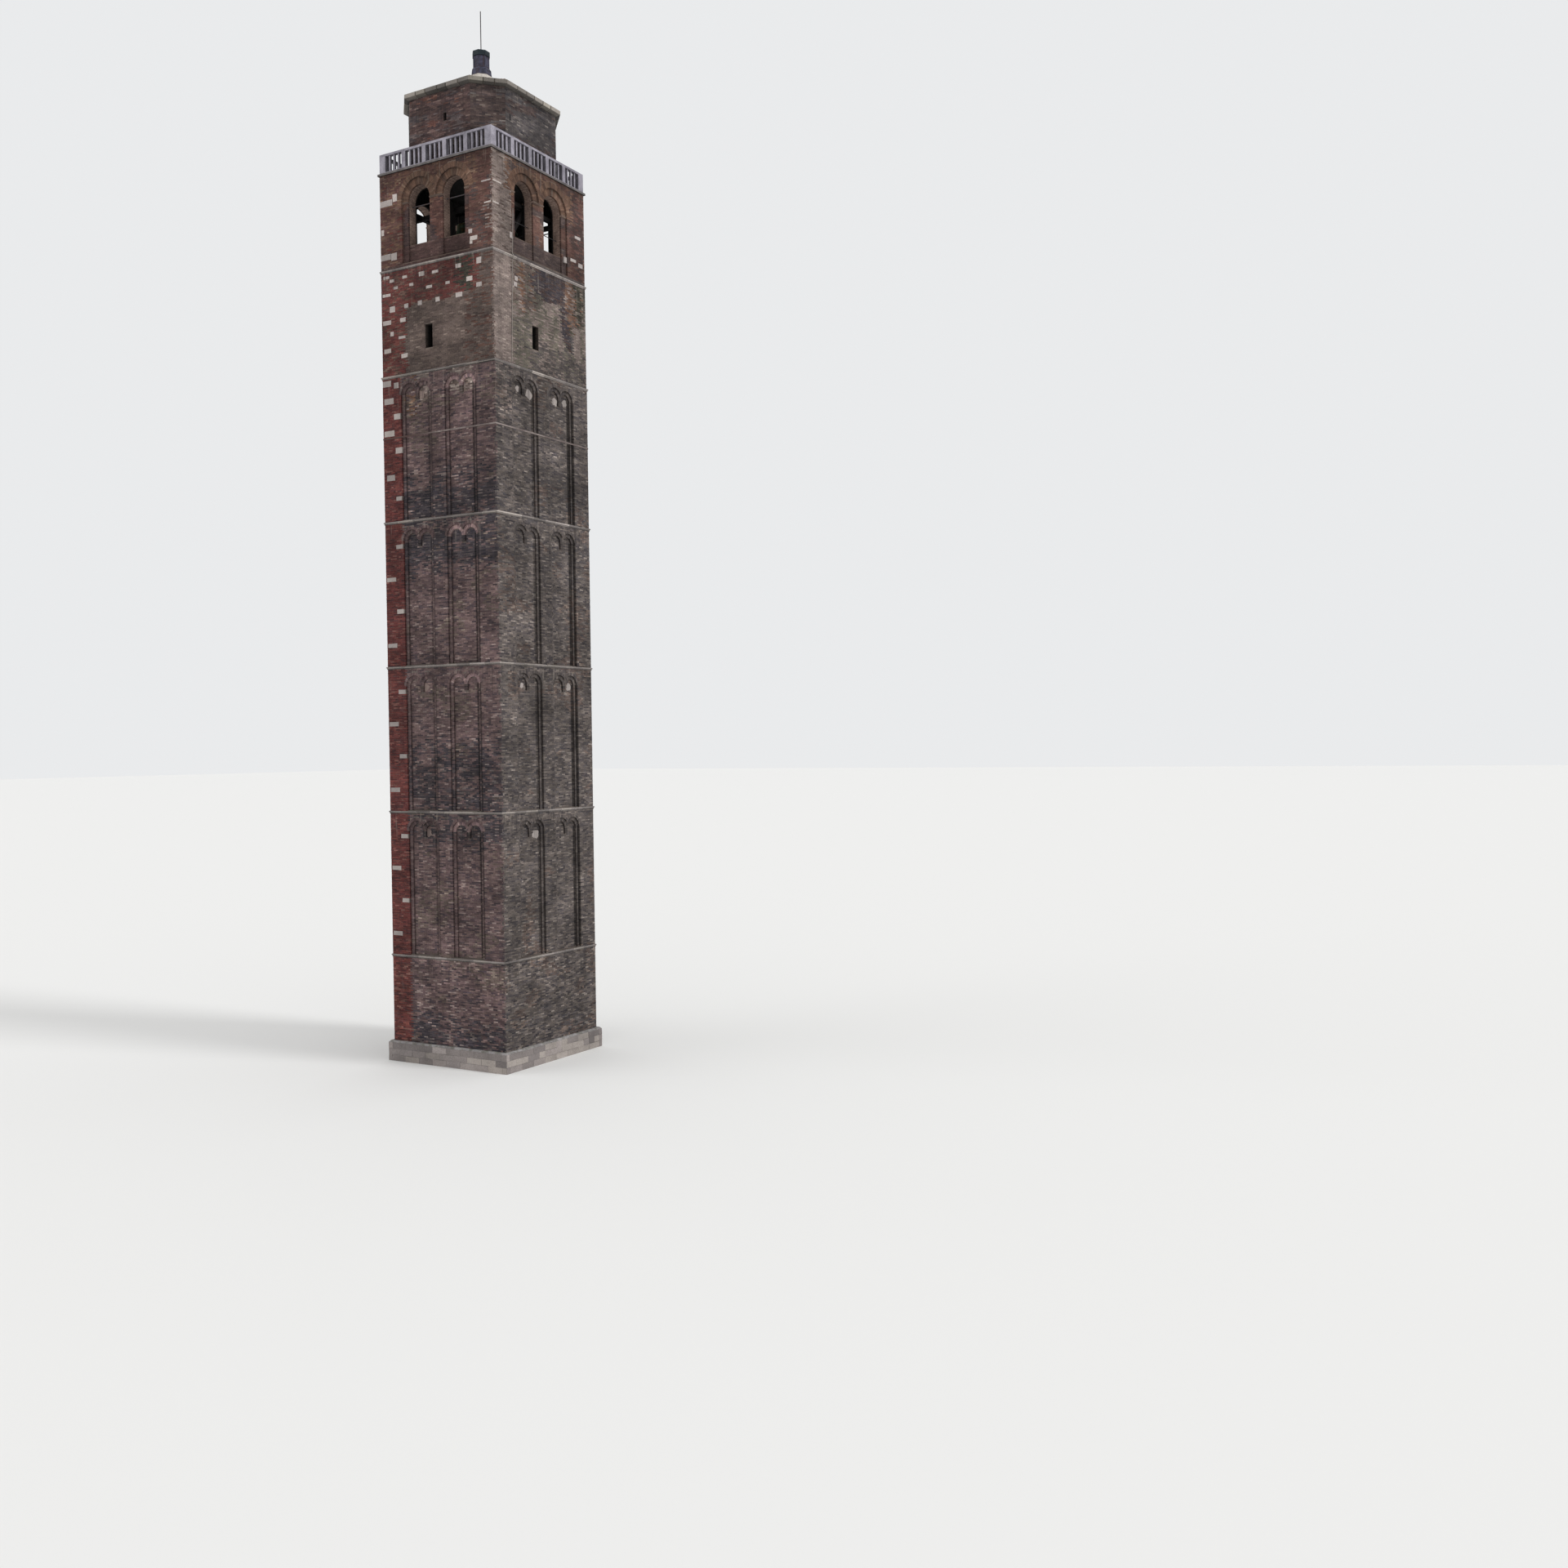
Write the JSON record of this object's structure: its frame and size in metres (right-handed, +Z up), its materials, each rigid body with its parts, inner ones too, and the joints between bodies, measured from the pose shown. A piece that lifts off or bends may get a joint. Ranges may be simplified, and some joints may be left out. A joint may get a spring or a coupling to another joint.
{
  "type": "bell tower, 1:2 scale model",
  "caption": "Tall square brick bell tower with blind arches, an arched belfry with two swinging bells, a balustrade and an eight-sided drum.",
  "frame": {"origin": "centre of the plinth's flat underside, on the ground", "axes": "+Z up; -Y is the front, the left of the two sides that the picture shows, and +X the right one"},
  "size_m": [3.76, 3.76, 26.1304],
  "materials": {
    "brick": "weathered grey-brown brick",
    "dark_brick": "weathered dark brick",
    "warm_brick": "weathered warm brown brick",
    "pale_stone": "weathered pale limestone",
    "grey_stone": "weathered grey limestone",
    "roof_tile": "weathered clay tile",
    "lead": "dull weathered sheet metal",
    "patina": "dark green sheet metal",
    "iron": "rusty wrought iron",
    "timber": "old dark oak",
    "bronze": "bronze with a green bloom"
  },
  "bodies": {
    "tower": {"plinth": "grey_stone", "door_surround": "pale_stone", "iron_hoop": "iron", "belfry_floor": "timber", "tie_bars": "iron", "walkway_slab": "grey_stone", "balustrade_sides": "grey_stone", "balustrade_corners": "grey_stone", "drum_sides": "brick", "drum_corners": "brick", "drum_cornice": "pale_stone", "roof": "roof_tile", "turret_foot": "pale_stone", "turret": "lead", "turret_cap": "patina", "rod": "iron", "trestles": "timber", "frame_ties": "timber", "bearings": "iron", "lower_wall_front": "dark_brick", "tier_wall_front": "dark_brick", "middle_wall_front": "brick", "belfry_wall_front": "warm_brick", "string_courses_front": "pale_stone", "lower_wall_right": "dark_brick", "tier_wall_right": "dark_brick", "middle_wall_right": "brick", "belfry_wall_right": "warm_brick", "string_courses_right": "pale_stone", "lower_wall_back": "dark_brick", "tier_wall_back": "dark_brick", "middle_wall_back": "brick", "belfry_wall_back": "warm_brick", "string_courses_back": "pale_stone", "lower_wall_left": "dark_brick", "tier_wall_left": "dark_brick", "middle_wall_left": "brick", "belfry_wall_left": "warm_brick", "string_courses_left": "pale_stone"},
    "left_bell_body": {"left_headstock": "timber", "left_bell": "bronze"},
    "left_clapper_body": {"left_clapper": "iron"},
    "right_bell_body": {"right_headstock": "timber", "right_bell": "bronze"},
    "right_clapper_body": {"right_clapper": "iron"}
  },
  "joints": [
    {"name": "left_bell_swing", "type": "hinge", "parent": "tower", "child": "left_bell_body", "pos_m": [-0.65, 0, 21.085], "axis": [1, 0, 0], "range_deg": [-60, 60]},
    {"name": "left_clapper_swing", "type": "hinge", "parent": "left_bell_body", "child": "left_clapper_body", "pos_m": [-0.65, 0, 20.919], "axis": [1, 0, 0], "range_deg": [-24, 24]},
    {"name": "right_bell_swing", "type": "hinge", "parent": "tower", "child": "right_bell_body", "pos_m": [0.65, 0, 21.085], "axis": [1, 0, 0], "range_deg": [-60, 60]},
    {"name": "right_clapper_swing", "type": "hinge", "parent": "right_bell_body", "child": "right_clapper_body", "pos_m": [0.65, 0, 20.919], "axis": [1, 0, 0], "range_deg": [-24, 24]}
  ]
}
